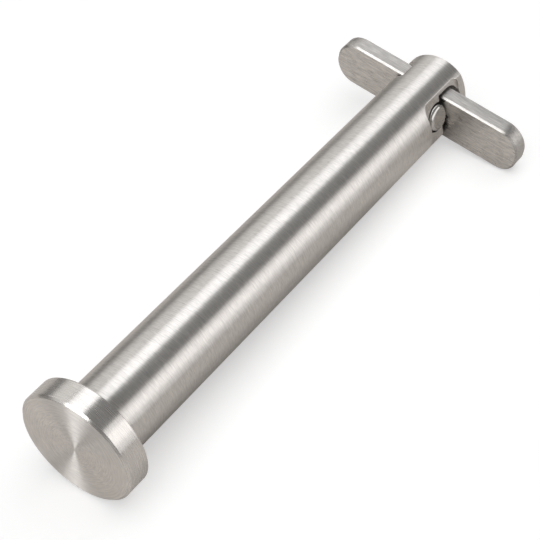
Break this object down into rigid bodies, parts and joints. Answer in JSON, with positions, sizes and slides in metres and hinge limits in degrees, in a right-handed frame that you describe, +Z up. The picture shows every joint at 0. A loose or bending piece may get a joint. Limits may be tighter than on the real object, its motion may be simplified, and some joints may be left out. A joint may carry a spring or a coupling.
{
  "type": "clevis pin",
  "caption": "Steel clevis pin with a flat round head, kept in place by a flat cross bar that slides through a window near its plain end, in front of a small keeper pin.",
  "frame": {"origin": "on the ground, under the middle of the whole pin's box as it lies at rest", "axes": "+X towards the plain end and level, +Y towards the raised end of the cross bar, +Z up"},
  "size_m": [0.1554, 0.0576, 0.0308],
  "materials": {
    "turned_steel": "fine turned satin",
    "bar_steel": "lengthwise brushed satin",
    "keeper_steel": "polished"
  },
  "bodies": {
    "pin": {"pin_body": "turned_steel", "keeper_pin": "keeper_steel"},
    "bar": {"cross_bar": "bar_steel"}
  },
  "joints": [
    {"name": "bar_slide", "type": "slide", "parent": "pin", "child": "bar", "axis": [0.0052, 0.9896, 0.1439], "range_m": [-0.07, 0.07]}
  ]
}
